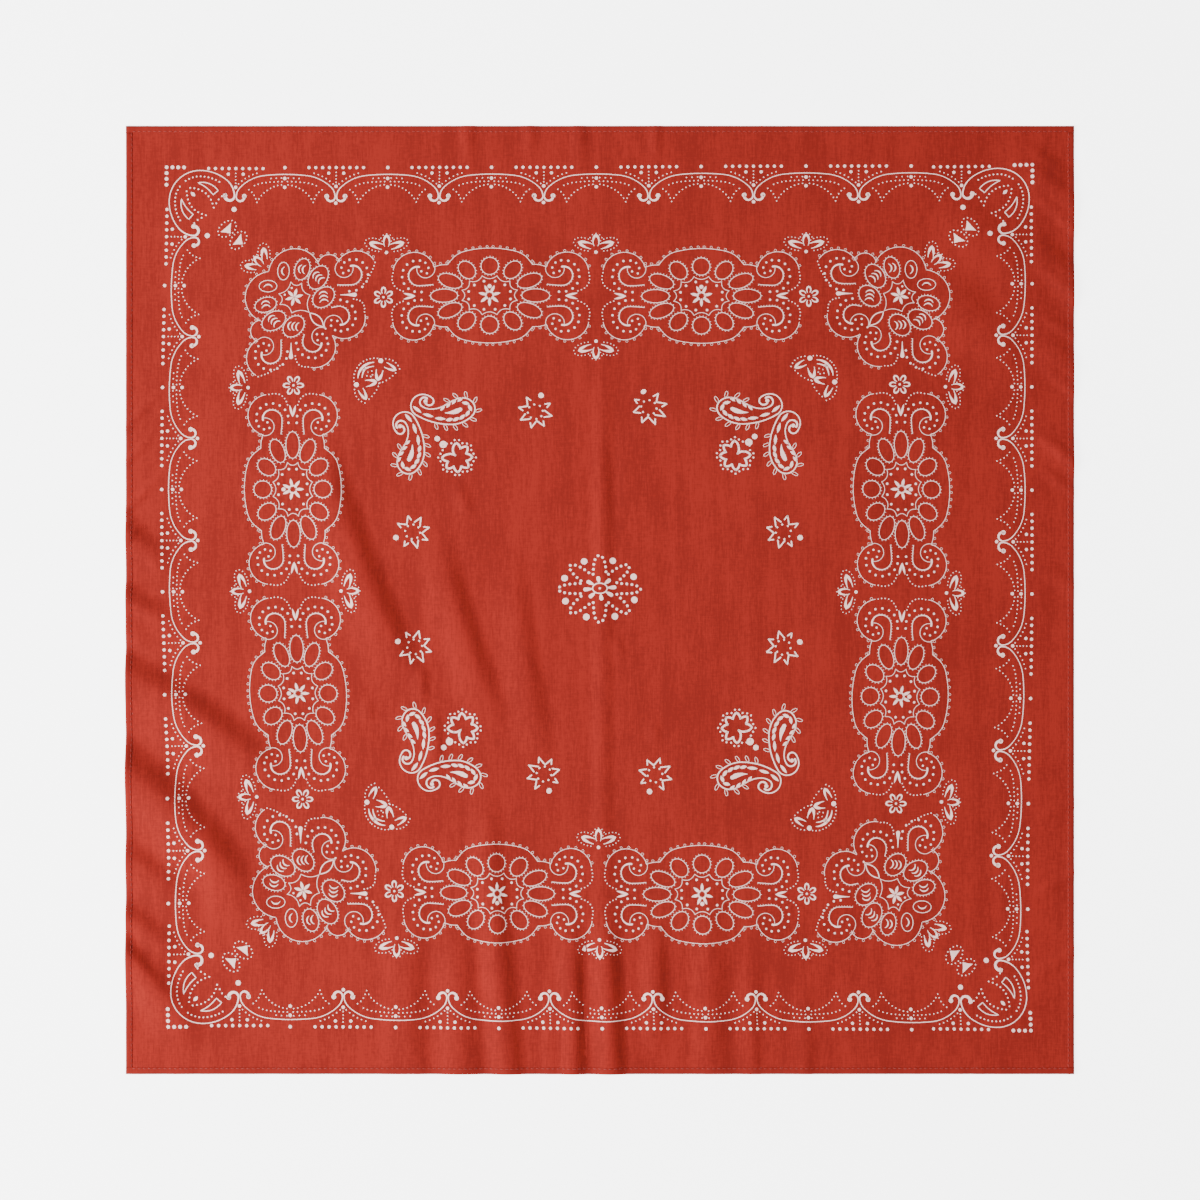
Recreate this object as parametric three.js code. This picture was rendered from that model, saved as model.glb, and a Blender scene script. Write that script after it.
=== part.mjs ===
// A cotton bandana laid flat: one printed square of cloth, with its four edges turned to the back and sewn.
// Units are millimetres. +X runs to the right edge, +Y to the top edge and +Z up, away from the surface
// that the cloth lies on. The origin is under the middle of the square. The fold sizes are the cloth's own.

import * as THREE from 'three';

// Driving dimensions
const SIDE = 550;             // the finished square, edge to edge
const CLOTH_WALL = 1.2;       // the cloth, as a wall
const HEM_WIDTH = 4;          // a turned edge, seen from above
const HEM_WALL = 1.8;         // a turned edge, three layers of cloth on each other
const HEM_ROUNDING = 0.6;     // the turned edge's outer corners
const SEAM_GAP = 0.3;         // between the panel and a hem, and between two hems at a corner
const CLOTH_COLOUR = 'rgb(176, 58, 42)';
const HEM_COLOUR = 'rgb(160, 48, 35)';

const HALF_SIDE = SIDE / 2;
const HALF_PANEL = HALF_SIDE - HEM_WIDTH - SEAM_GAP;

// Where the wall has its sections: up to each limit they are one step apart, and close at narrow folds.
const SECTION_COLUMNS = ['limit', 'step'];
const SECTIONS_ACROSS = table(SECTION_COLUMNS, [
  [-200, 9],
  [-125, 12.5],
  [79, 6],
  [190, 16],
  [HALF_PANEL, 11.5],
]);
const SECTIONS_ALONG = table(SECTION_COLUMNS, [
  [-60, 9.5],
  [75, 12],
  [HALF_PANEL, 16.5],
]);

// A hem's section: how far in from the outer edge, and how high over the underside.
const HEM_SECTION = table(['inward', 'up'], [
  [HEM_WIDTH, 0],
  [HEM_WIDTH, HEM_WALL],
  [HEM_ROUNDING, HEM_WALL],
  [0, HEM_WALL - HEM_ROUNDING],
  [0, HEM_ROUNDING],
  [HEM_ROUNDING, 0],
]);

// The folds, one soft ridge a row. The crest runs from start to end, from the higher Y to the lower, and
// bows east by so much half way along. Its west and east flanks each have their own width. The ridge stands
// to its height, and rises from nothing over the share startFade of its length and dies away over endFade.
const RIDGE_COLUMNS = [
  'startX', 'startY', 'endX', 'endY', 'bow', 'west', 'east', 'height', 'startFade', 'endFade',
];
const RIDGES = table(RIDGE_COLUMNS, [
  // From the left edge, falling to the right
  [-292, 56, -236, 2, 0, 13, 9, 1.3, 0, 0.75],
  [-292, 8, -232, -26, 0, 15, 9, 1.6, 0, 0.7],
  [-296, -34, -172, -122, 8, 22, 12, 4.2, 0, 0.5],
  [-298, -84, -196, -192, 10, 20, 14, 5, 0, 0.4],
  [-294, -140, -232, -182, 3, 13, 9, 2.2, 0, 0.6],
  [-294, -174, -238, -214, 3, 10, 8, 2.2, 0, 0.6],
  [-294, -188, -232, -262, 5, 16, 10, 3.6, 0, 0.5],
  // Across the left half of the field
  [-166, 98, -102, -62, -5, 20, 11, 3.2, 0.3, 0.35],
  [-97, 44, -56, -82, -3, 15, 9, 2.3, 0.3, 0.4],
  [-53, 34, -30, -108, -2, 13, 8, 1.5, 0.35, 0.4],
  // Pleats that run up from the bottom edge
  [-113, -172, -111, -292, 0, 16, 10, 1.6, 0.4, 0.3],
  [-85, -178, -80, -292, 0, 12, 11, 1.9, 0.4, 0],
  [-70, -90, -52, -294, 0, 10, 9, 2.4, 0.45, 0],
  [-17, -172, -15, -292, 0, 9, 7, 2.2, 0.4, 0],
  [2, -164, 7, -292, 0, 9, 8, 2.7, 0.4, 0],
  [31, -176, 33, -270, 0, 8, 7, 1.6, 0.4, 0.4],
  [63, -146, 64, -292, 0, 10, 10, 1.5, 0.4, 0.3],
  // The middle crease, where the square was once folded in half
  [1.5, 172, 1.5, -200, 0, 6, 6, 0.8, 0.3, 0.2],
  // Broad, low swells on the right, and the wrinkles at the right edge
  [196, 232, 262, 176, 0, 18, 14, 1.5, 0.3, 0.5],
  [192, 186, 246, 122, 4, 18, 15, 1.7, 0.3, 0.45],
  [232, 264, 296, 206, 3, 11, 9, 1.7, 0.4, 0],
  [236, 218, 296, 158, 3, 11, 9, 1.6, 0.4, 0],
  [244, 158, 296, 112, 2, 11, 10, 1.3, 0.4, 0],
  [246, 104, 296, 62, 2, 11, 10, 1.0, 0.4, 0],
]);

// A table's rows as objects, each value under its column's name.
function table(columns, rows) {
  return rows.map((row) => Object.fromEntries(columns.map((name, i) => [name, row[i]])));
}

// How high one ridge lifts the cloth at a place: a raised cosine across it, with its ends eased out.
function ridgeLift(ridge, x, y) {
  const start = new THREE.Vector2(ridge.startX, ridge.startY);
  const run = new THREE.Vector2(ridge.endX, ridge.endY).sub(start);
  const length = run.length();
  run.normalize();
  const offset = new THREE.Vector2(x, y).sub(start);
  const along = offset.dot(run) / length;
  if (along <= 0 || along >= 1) return 0;
  const crest = 4 * ridge.bow * along * (1 - along);
  const eastward = run.x * offset.y - run.y * offset.x - crest;
  const flank = eastward > 0 ? ridge.east : ridge.west;
  const share = Math.abs(eastward) / flank;
  if (share >= 1) return 0;
  const rise = THREE.MathUtils.smoothstep(along, 0, ridge.startFade);
  const fall = THREE.MathUtils.smoothstep(1 - along, 0, ridge.endFade);
  return ridge.height * rise * fall * (1 + Math.cos(Math.PI * share)) / 2;
}

// The underside's height over the surface: zero where the cloth rests, more where folds lift it.
function lift(x, y) {
  return RIDGES.reduce((sum, ridge) => sum + ridgeLift(ridge, x, y), 0);
}

// The places of the sections from one side of the panel to the other, evenly spaced between two limits.
function sectionPlaces(sections) {
  const places = [-HALF_PANEL];
  for (const { limit, step } of sections) {
    const from = places[places.length - 1];
    const count = Math.round((limit - from) / step);
    for (let i = 1; i <= count; i++) places.push(from + (limit - from) * i / count);
  }
  return places;
}

// A closed body from equal rings of points, each ring joined to the next and the first and last one capped.
// The rings turn anticlockwise when seen from the last ring, looking back to the first.
function ringGeometry(rings, capTriangles) {
  const size = rings[0].length;
  const faces = [];
  for (let r = 0; r + 1 < rings.length; r++) {
    for (let i = 0; i < size; i++) {
      const a = r * size + i;
      const b = r * size + (i + 1) % size;
      faces.push(a, b, b + size, a, b + size, a + size);
    }
  }
  const last = (rings.length - 1) * size;
  for (const [a, b, c] of capTriangles) faces.push(a, c, b, last + a, last + b, last + c);
  const geometry = new THREE.BufferGeometry().setFromPoints(rings.flat());
  geometry.setIndex(faces);
  geometry.computeVertexNormals();
  return geometry;
}

// Where the panel's sections and the hems beside it have their points, across the cloth and along it.
const PANEL_ACROSS = sectionPlaces(SECTIONS_ACROSS);
const PANEL_ALONG = sectionPlaces(SECTIONS_ALONG);

// The panel's wall: each ring is one section, over the face from left to right and back along the underside.
function panelGeometry() {
  const rings = PANEL_ALONG.map((y) => {
    const under = PANEL_ACROSS.map((x) => new THREE.Vector3(x, y, lift(x, y)));
    const face = under.map((point) => point.clone().setZ(point.z + CLOTH_WALL));
    return [...face, ...under.reverse()];
  });
  const caps = [];
  for (let i = 0; i + 1 < PANEL_ACROSS.length; i++) {
    const j = 2 * PANEL_ACROSS.length - 1 - i;
    caps.push([i, i + 1, j - 1], [i, j - 1, j]);
  }
  return ringGeometry(rings, caps);
}

// A hem along one edge: its section at each of the given places, on the same folds as the panel beside it.
// place turns a distance in from the edge and a place along it into the cloth's X and Y.
function hemGeometry(places, place) {
  const rings = places.map((at) => HEM_SECTION.map(({ inward, up }) => {
    const [x, y] = place(inward, at);
    return new THREE.Vector3(x, y, lift(x, y) + up);
  }));
  const caps = HEM_SECTION.slice(2).map((_, i) => [0, i + 1, i + 2]);
  return ringGeometry(rings, caps);
}

// The top and bottom hems run from corner to corner, and the side hems fit between them. Each is walked
// anticlockwise round the square, as seen from above.
const HEM_ACROSS = [-HALF_SIDE, ...PANEL_ACROSS, HALF_SIDE];
const HEMS = [
  { name: 'hem_bottom', places: HEM_ACROSS, place: (inward, x) => [x, inward - HALF_SIDE] },
  { name: 'hem_right', places: PANEL_ALONG, place: (inward, y) => [HALF_SIDE - inward, y] },
  { name: 'hem_top', places: HEM_ACROSS.toReversed(), place: (inward, x) => [x, HALF_SIDE - inward] },
  { name: 'hem_left', places: PANEL_ALONG.toReversed(), place: (inward, y) => [inward - HALF_SIDE, y] },
];

function clothMaterial(colour) {
  return new THREE.MeshStandardMaterial({ color: colour, roughness: 0.9, metalness: 0 });
}

function namedMesh(name, geometry, material) {
  const mesh = new THREE.Mesh(geometry, material);
  mesh.name = name;
  return mesh;
}

const bandana = new THREE.Group();
bandana.add(namedMesh('cloth_panel', panelGeometry(), clothMaterial(CLOTH_COLOUR)));
for (const { name, places, place } of HEMS) {
  bandana.add(namedMesh(name, hemGeometry(places, place), clothMaterial(HEM_COLOUR)));
}

export default bandana;
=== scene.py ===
"""A printed cotton bandana laid flat: its cloth with folds and creases, its turned edges, sewing and print.

The tables are in millimetres on the cloth, from its middle: +X to the right edge, +Y to the top edge, +Z up.
"""

import math

import bpy
import numpy as np
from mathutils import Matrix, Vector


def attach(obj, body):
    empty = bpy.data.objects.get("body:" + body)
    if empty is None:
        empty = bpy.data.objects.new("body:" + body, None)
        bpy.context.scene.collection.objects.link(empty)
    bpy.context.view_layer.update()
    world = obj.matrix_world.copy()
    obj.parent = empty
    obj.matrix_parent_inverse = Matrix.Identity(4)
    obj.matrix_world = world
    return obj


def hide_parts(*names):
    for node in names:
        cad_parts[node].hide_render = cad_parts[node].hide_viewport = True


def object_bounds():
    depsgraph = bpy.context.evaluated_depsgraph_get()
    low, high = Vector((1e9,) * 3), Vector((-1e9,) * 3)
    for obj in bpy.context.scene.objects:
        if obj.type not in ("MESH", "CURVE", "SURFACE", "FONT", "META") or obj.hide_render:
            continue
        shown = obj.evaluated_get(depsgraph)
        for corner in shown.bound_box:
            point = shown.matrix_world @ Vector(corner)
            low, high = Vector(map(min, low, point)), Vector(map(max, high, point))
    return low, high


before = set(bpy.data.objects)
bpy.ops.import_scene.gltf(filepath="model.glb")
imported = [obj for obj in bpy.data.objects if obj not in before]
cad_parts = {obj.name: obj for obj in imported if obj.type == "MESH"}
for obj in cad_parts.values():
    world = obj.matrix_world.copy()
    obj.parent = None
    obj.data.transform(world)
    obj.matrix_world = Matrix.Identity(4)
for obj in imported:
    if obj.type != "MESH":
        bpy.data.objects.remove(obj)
CAD_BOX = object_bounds()

# Sizes
MM = 0.001
HALF_SIDE = CAD_BOX[1].x / MM
HEM_WIDTH = 4.0                # a turned edge, seen from above
SEAM_SLIT = 0.05               # between the panel's edge and a hem
HALF_PANEL = HALF_SIDE - HEM_WIDTH - SEAM_SLIT
CLOTH_THICKNESS = 0.3
CLOTH_CLEARANCE = 0.05         # under the cloth, where it rests
EDGE_RISE = 0.35               # how far the turned layers under the edge lift the panel there
EDGE_RISE_WIDTH = 9.0
FACE_STEPS = 288               # the face's cells from side to side, a multiple of UNDERSIDE_EVERY
UNDERSIDE_EVERY = 3            # the underside has a line for every third one of the face
SLOPE_STEP = 0.25              # for working out the cloth's slope
FLANK_EASE = 1.4               # the cloth's folds run out wider than the solid's
FOLD_EASE = 1.05               # and stand a little higher

# The photograph's frame
PHOTO_WIDTH = 1200             # pixels
PHOTO_CLOTH_WIDTH = 948        # pixels, edge to edge
LENS = 100.0                   # millimetres
SENSOR = 36.0                  # millimetres


# The folds

RIDGE_COLUMNS = (
    "start_x", "start_y", "end_x", "end_y", "bow", "west", "east", "height", "start_fade", "end_fade",
)

# One soft ridge a row. The crest runs from start to end and bows to its left by so much half way along. Most
# run down the cloth, where left is east, and the west and east flanks each have their own width. The ridge
# rises over the share start_fade of its length and dies away over end_fade. These are the solid's own folds.
MAIN_FOLDS = [
    # From the left edge, falling to the right
    (-292, 56, -236, 2, 0, 13, 9, 1.3, 0, 0.75),
    (-292, 8, -232, -26, 0, 15, 9, 1.6, 0, 0.7),
    (-296, -34, -172, -122, 8, 22, 12, 4.2, 0, 0.5),
    (-298, -84, -196, -192, 10, 20, 14, 5, 0, 0.4),
    (-294, -140, -232, -182, 3, 13, 9, 2.2, 0, 0.6),
    (-294, -174, -238, -214, 3, 10, 8, 2.2, 0, 0.6),
    (-294, -188, -232, -262, 5, 16, 10, 3.6, 0, 0.5),
    # Across the left half of the field
    (-166, 98, -102, -62, -5, 20, 11, 3.2, 0.3, 0.35),
    (-97, 44, -56, -82, -3, 15, 9, 2.3, 0.3, 0.4),
    (-53, 34, -30, -108, -2, 13, 8, 1.5, 0.35, 0.4),
    # Pleats that run up from the bottom edge
    (-113, -172, -111, -292, 0, 16, 10, 1.6, 0.4, 0.3),
    (-85, -178, -80, -292, 0, 12, 11, 1.9, 0.4, 0),
    (-70, -90, -52, -294, 0, 10, 9, 2.4, 0.45, 0),
    (-17, -172, -15, -292, 0, 9, 7, 2.2, 0.4, 0),
    (2, -164, 7, -292, 0, 9, 8, 2.7, 0.4, 0),
    (31, -176, 33, -270, 0, 8, 7, 1.6, 0.4, 0.4),
    (63, -146, 64, -292, 0, 10, 10, 1.5, 0.4, 0.3),
    # The middle crease, where the square was once folded in half
    (1.5, 172, 1.5, -200, 0, 6, 6, 0.8, 0.3, 0.2),
    # Broad, low swells on the right, and the wrinkles at the right edge
    (196, 232, 262, 176, 0, 18, 14, 1.5, 0.3, 0.5),
    (192, 186, 246, 122, 4, 18, 15, 1.7, 0.3, 0.45),
    (232, 264, 296, 206, 3, 11, 9, 1.7, 0.4, 0),
    (236, 218, 296, 158, 3, 11, 9, 1.6, 0.4, 0),
    (244, 158, 296, 112, 2, 11, 10, 1.3, 0.4, 0),
    (246, 104, 296, 62, 2, 11, 10, 1.0, 0.4, 0),
]

# Finer creases between the folds, in the same columns. A height below zero is a trough.
FINE_CREASES = [
    (-290, -66, -240, -80, 0, 5, 8, 0.8, 0, 0.5),
    (-272, 244, -273, 128, 0, 4, 5, 0.35, 0.3, 0.3),
    (-276, 6, -188, 5, 0, 4, 4, 0.45, 0, 0.6),
    (-85, 72, -75, 46, 0, 6, 5, 0.7, 0.4, 0.4),
    (4, 104, 8, 38, 1, 5, 6, -0.35, 0.4, 0.4),
    (8, -18, 13, -37, 0, 5, 4, 0.5, 0.5, 0.5),
    (30, -68, 33, -87, 0, 5, 4, 0.5, 0.5, 0.5),
    (-136, -56, -133, -74, 0, 5, 4, 0.5, 0.5, 0.5),
    (-104, -34, -103, -64, 0, 6, 4, 0.7, 0.4, 0.4),
    (-98, -58, -94, -104, 0, 6, 5, 0.8, 0.4, 0.4),
    (-29, -206, -28, -290, 0, 6, 5, 0.7, 0.4, 0),
    (87, -196, 88, -290, 0, 7, 6, 0.8, 0.4, 0),
    (118, -214, 120, -290, 0, 7, 6, 0.6, 0.4, 0),
    (-76, 292, -77, 246, 0, 5, 5, 0.8, 0, 0.6),
    (-40, 292, -41, 252, 0, 5, 4, 0.8, 0, 0.6),
    (-12, 292, -12, 240, 0, 5, 5, 0.8, 0, 0.6),
    (32, 292, 33, 250, 0, 5, 4, 0.7, 0, 0.6),
    (240, 268, 292, 228, 2, 4, 4, 0.5, 0.3, 0),
    (245, 240, 292, 196, 2, 4, 4, 0.6, 0.3, 0),
    (248, 198, 292, 158, 2, 4, 4, 0.5, 0.3, 0),
    (252, 166, 292, 140, 2, 4, 4, 0.5, 0.3, 0),
    (250, 140, 290, 104, 2, 4, 4, 0.5, 0.3, 0),
    (-278, -188, -240, -238, 0, 5, 4, -0.6, 0, 0.5),
    # Crumples beside the left edge
    (-282, 92, -250, 124, 1, 3, 3, 0.5, 0, 0.6),
    (-282, 72, -256, 96, 1, 3, 3, 0.6, 0, 0.6),
    (-282, 46, -252, 76, -1, 3, 3, 0.6, 0, 0.6),
    (-282, 28, -260, 48, 0, 3, 3, 0.5, 0, 0.6),
    (-288, 46, -246, 18, 0, 8, 7, 0.9, 0, 0.6),
    (-290, 8, -240, -16, 0, 6, 8, 1.1, 0, 0.6),
    (-290, -8, -252, -34, 0, 6, 7, 1.0, 0, 0.6),
    # Soft wrinkles in the right margin, falling to the edge above and rising to it below
    (248, 100, 292, 62, 2, 4, 4, 0.7, 0.3, 0),
    (252, 78, 292, 46, 2, 4, 4, 0.6, 0.3, 0),
    (250, 22, 292, -8, 2, 6, 6, 0.6, 0.4, 0),
    (246, -128, 292, -110, -1, 4, 4, 0.6, 0.4, 0),
    (246, -174, 292, -148, -1, 4, 4, 0.6, 0.4, 0),
    (244, -222, 292, -192, -1, 5, 5, 0.7, 0.4, 0),
]

# Small uneven waves: how far apart their crests lie, how high they are and, at an edge, how far in they reach
HEM_PUCKERS = {
    "bottom": (6.5, 0.4, 15),
    "top": (9.0, 0.26, 14),
    "left": (8.0, 0.36, 12),
    "right": (9.0, 0.24, 14),
}
PUCKER_SEED, REACH_SEED = 10, 20
REACH_PITCH, REACH_CHANGE = 2.3, 0.5           # the puckers' reach varies along the edge, more slowly
SOFT_WAVES = [
    # pitch_x, pitch_y, height
    (44, 62, 0.32),
    (15, 80, 0.12),
    (5.5, 48, 0.035),
    (36, 6.0, 0.02),
]
WAVE_STEPS = 256               # seeded heights along a wave before it repeats


def ease(share, span):
    """From 0 to 1 over the span, softly at both ends."""
    if span == 0:
        return np.ones_like(share)
    risen = np.clip(share / span, 0, 1)
    return risen * risen * (3 - 2 * risen)


def ridge_lift(row, x, y):
    """How high one ridge lifts the cloth: a raised cosine across it, with its ends eased out. Eastward is to
    the left of its run."""
    ridge = dict(zip(RIDGE_COLUMNS, row))
    run_x, run_y = ridge["end_x"] - ridge["start_x"], ridge["end_y"] - ridge["start_y"]
    length = math.hypot(run_x, run_y)
    run_x, run_y = run_x / length, run_y / length
    off_x, off_y = x - ridge["start_x"], y - ridge["start_y"]
    along = (off_x * run_x + off_y * run_y) / length
    crest = 4 * ridge["bow"] * along * (1 - along)
    eastward = run_x * off_y - run_y * off_x - crest
    flank = FLANK_EASE * np.where(eastward > 0, ridge["east"], ridge["west"])
    body = FOLD_EASE * ridge["height"] * (1 + np.cos(math.pi * np.clip(np.abs(eastward) / flank, 0, 1))) / 2
    inside = (along > 0) & (along < 1)
    return inside * body * ease(along, ridge["start_fade"]) * ease(1 - along, ridge["end_fade"])


def wave_heights(seed, shape):
    return np.random.default_rng(seed).uniform(-1, 1, shape)


def wave_steps(place, pitch):
    """The steps of a wave on both sides of a place, and the share of the second one there."""
    steps = place / pitch + WAVE_STEPS // 2
    before = np.floor(steps).astype(int)
    return before % WAVE_STEPS, (before + 1) % WAVE_STEPS, ease(steps - before, 1)


def edge_wave(place, pitch, seed):
    """A soft uneven wave along a line: seeded heights, one each pitch, joined smoothly."""
    heights = wave_heights(seed, WAVE_STEPS)
    left, right, share = wave_steps(place, pitch)
    return heights[left] * (1 - share) + heights[right] * share


def surface_wave(x, y, pitch_x, pitch_y, seed):
    """The same in both directions."""
    heights = wave_heights(seed, (WAVE_STEPS, WAVE_STEPS))
    left, right, share_x = wave_steps(x, pitch_x)
    low, high, share_y = wave_steps(y, pitch_y)
    bottom = heights[left, low] * (1 - share_x) + heights[right, low] * share_x
    top = heights[left, high] * (1 - share_x) + heights[right, high] * share_x
    return bottom * (1 - share_y) + top * share_y


def relief(x, y):
    """The cloth's height over where it would lie quite flat, folds and waves together, never below zero."""
    height = np.zeros_like(x)
    for row in MAIN_FOLDS + FINE_CREASES:
        height += ridge_lift(row, x, y)
    for seed, (pitch_x, pitch_y, depth) in enumerate(SOFT_WAVES):
        height += depth * (1 + surface_wave(x, y, pitch_x, pitch_y, seed)) / 2
    edges = {"bottom": (x, y + HALF_SIDE), "top": (x, HALF_SIDE - y),
             "left": (y, x + HALF_SIDE), "right": (y, HALF_SIDE - x)}
    for seed, (edge, (place, inward)) in enumerate(edges.items()):
        pitch, depth, reach = HEM_PUCKERS[edge]
        reach = reach * (1 + REACH_CHANGE * edge_wave(place, REACH_PITCH * pitch, REACH_SEED + seed))
        pucker = depth * (1 + edge_wave(place, pitch, PUCKER_SEED + seed)) / 2
        height += pucker * (1 - ease(inward / reach, 1))
    return np.maximum(height, 0)


def slopes(x, y):
    """The relief's slope to the right and towards the top."""
    step = SLOPE_STEP
    across = (relief(x + step, y) - relief(x - step, y)) / (2 * step)
    upward = (relief(x, y + step) - relief(x, y - step)) / (2 * step)
    return across, upward


def face_normals(x, y):
    across, upward = slopes(x, y)
    normals = np.stack([-across, -upward, np.ones_like(x)], axis=-1)
    return normals / np.linalg.norm(normals, axis=-1, keepdims=True)


# Meshes

def new_object(name, data):
    """An object in the scene for a mesh, a lamp or a camera."""
    made = bpy.data.objects.new(name, data)
    bpy.context.scene.collection.objects.link(made)
    return made


def add_piece(name, points, faces, normals=None, flat_map=None):
    """A smooth mesh from points in millimetres, with its own normals and bake map where they are given."""
    mesh = bpy.data.meshes.new(name)
    mesh.from_pydata((np.asarray(points) * MM).tolist(), [], [list(map(int, face)) for face in faces])
    mesh.polygons.foreach_set("use_smooth", [True] * len(mesh.polygons))
    mesh.update()
    if normals is not None:
        mesh.normals_split_custom_set_from_vertices(np.asarray(normals).tolist())
    if flat_map is not None:
        layer = mesh.uv_layers.new(name="OFBake")
        corners = np.empty(len(mesh.loops), dtype=np.int32)
        mesh.loops.foreach_get("vertex_index", corners)
        layer.data.foreach_set("uv", np.asarray(flat_map)[corners].ravel())
    return new_object(name, mesh)


def tube_faces(rings, sides, start=0):
    """The faces of a closed tube whose points go ring by ring."""
    faces = []
    for ring in range(rings - 1):
        for i in range(sides):
            a, b = start + ring * sides + i, start + ring * sides + (i + 1) % sides
            faces += [(a, b, b + sides), (a, b + sides, a + sides)]
    last = start + (rings - 1) * sides
    for i in range(1, sides - 1):
        faces += [(start, start + i + 1, start + i), (last, last + i, last + i + 1)]
    return faces


# The cloth panel

FACE_MAP_SHARE = 0.9           # of the bake map's side, for the face; the underside gets a corner of it
FACE_MAP_MARGIN, UNDER_MAP_MARGIN = 0.002, 0.01
LINES = np.linspace(-HALF_PANEL, HALF_PANEL, FACE_STEPS + 1)


def edge_rise(x, y):
    """How far the turned edges lift the panel beside them."""
    inward = HALF_PANEL - np.maximum(np.abs(x), np.abs(y))
    return EDGE_RISE * (1 - ease(inward, EDGE_RISE_WIDTH))


def underside_height(x, y):
    return relief(x, y) + CLOTH_CLEARANCE + edge_rise(x, y)


def face_height(x, y):
    return underside_height(x, y) + CLOTH_THICKNESS


def face_cell_corners(columns, rows):
    """A grid's cells as two triangles each, face up. The points go row by row."""
    cells = [(r * columns + c, r * columns + c + 1, (r + 1) * columns + c + 1, (r + 1) * columns + c)
             for r in range(rows - 1) for c in range(columns - 1)]
    return [triangle for a, b, c, d in cells for triangle in ((a, b, c), (a, c, d))]


def cloth_panel():
    """A closed thin shell: the fine face, and an underside with fewer lines that meets its whole edge."""
    across, along = np.meshgrid(LINES, LINES)
    x, y = across.ravel(), along.ravel()
    count = len(LINES)
    last = count - 1
    face_points = np.stack([x, y, face_height(x, y)], axis=1)
    faces = face_cell_corners(count, count)
    normals = face_normals(x, y)

    # The edge's points, anticlockwise from the lowest corner, as (column, row)
    rim = [(c, 0) for c in range(last)] + [(last, r) for r in range(last)]
    rim += [(c, last) for c in range(last, 0, -1)] + [(0, r) for r in range(last, 0, -1)]
    inner = range(UNDERSIDE_EVERY, last, UNDERSIDE_EVERY)
    under_places = rim + [(c, r) for r in inner for c in inner]
    under_number = {place: len(x) + i for i, place in enumerate(under_places)}
    under_x = np.array([LINES[c] for c, r in under_places])
    under_y = np.array([LINES[r] for c, r in under_places])
    under_points = np.stack([under_x, under_y, underside_height(under_x, under_y)], axis=1)

    # The wall round the edge, between face and underside
    for i, (c, r) in enumerate(rim):
        next_c, next_r = rim[(i + 1) % len(rim)]
        a, b = r * count + c, next_r * count + next_c
        under_a, under_b = under_number[(c, r)], under_number[(next_c, next_r)]
        faces += [(under_a, under_b, b), (under_a, b, a)]

    # The underside's cells: each is a fan from a corner that isn't on the edge, round all its other points
    coarse = range(0, last, UNDERSIDE_EVERY)
    for r in coarse:
        for c in coarse:
            faces += underside_fan(c, r, under_number)
    normals = np.concatenate([normals, -face_normals(under_x, under_y)])
    points = np.concatenate([face_points, under_points])
    face_map = face_uv(x, y)
    under_side = 1 - FACE_MAP_SHARE - 2 * UNDER_MAP_MARGIN
    under_map = (np.stack([under_x, under_y], axis=1) / HALF_PANEL + 1) / 2 * under_side
    under_map += FACE_MAP_SHARE + UNDER_MAP_MARGIN
    return add_piece("cloth", points, faces, normals, np.concatenate([face_map, under_map]))


def face_uv(x, y):
    return (np.stack([x, y], axis=1) / HALF_SIDE + 1) / 2 * FACE_MAP_SHARE + FACE_MAP_MARGIN


def underside_fan(column, row, number):
    """One cell of the underside, face down, with all the edge's points that lie on it."""
    step = UNDERSIDE_EVERY
    low = [(column + i, row) for i in range(step)]
    right = [(column + step, row + i) for i in range(step)]
    high = [(column + step - i, row + step) for i in range(step)]
    left = [(column, row + step - i) for i in range(step)]
    ring = [place for place in low + right + high + left if place in number]
    hub = next(place for place in ring if 0 < place[0] < FACE_STEPS and 0 < place[1] < FACE_STEPS)
    start = ring.index(hub)
    others = ring[start + 1:] + ring[:start]
    return [(number[hub], number[b], number[a]) for a, b in zip(others, others[1:])]


# The turned edges

# A hem's section, from the slit at its inner edge over its face, round the fold and back underneath
HEM_SECTION = [
    (4.0, 0.08), (4.0, 0.69), (3.6, 0.72), (3.2, 0.74), (2.6, 0.84), (1.7, 0.88), (0.9, 0.86), (0.4, 0.76),
    (0.1, 0.6), (0.0, 0.42), (0.1, 0.24), (0.5, 0.08), (1.3, 0.04), (3.0, 0.04),
]
END_FLATNESS, END_RISE = 0.6, 0.1              # a hem's ends are pressed flatter
END_LENGTH = 0.5


def hem(name, places, place_at):
    """A rounded strip along one edge. place_at turns a distance in and a place along into X and Y."""
    inward = np.array([row[0] for row in HEM_SECTION])
    up = np.array([row[1] for row in HEM_SECTION])
    size = len(HEM_SECTION)
    rings = []
    for number, at in enumerate(places):
        x, y = place_at(inward, np.full(size, at))
        end = number in (0, len(places) - 1)
        heights = up * END_FLATNESS + END_RISE if end else up
        rings.append(np.stack([x, y, relief(x, y) + heights], axis=1))
    points = np.concatenate(rings)
    faces = tube_faces(len(rings), size)
    return add_piece(name, points, faces, flat_map=face_uv(points[:, 0], points[:, 1]))


def hem_places(half):
    return np.concatenate([[-half], np.linspace(END_LENGTH - half, half - END_LENGTH, FACE_STEPS), [half]])


# Each hem's places along it, anticlockwise, and where a distance in from the edge and a place along it lie
HEM_PLACES = {
    "hem_bottom": (hem_places(HALF_SIDE), lambda inward, at: (at, inward - HALF_SIDE)),
    "hem_right": (hem_places(HALF_PANEL), lambda inward, at: (HALF_SIDE - inward, at)),
    "hem_top": (-hem_places(HALF_SIDE), lambda inward, at: (at, HALF_SIDE - inward)),
    "hem_left": (-hem_places(HALF_PANEL), lambda inward, at: (inward - HALF_SIDE, at)),
}


# The sewing

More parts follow.
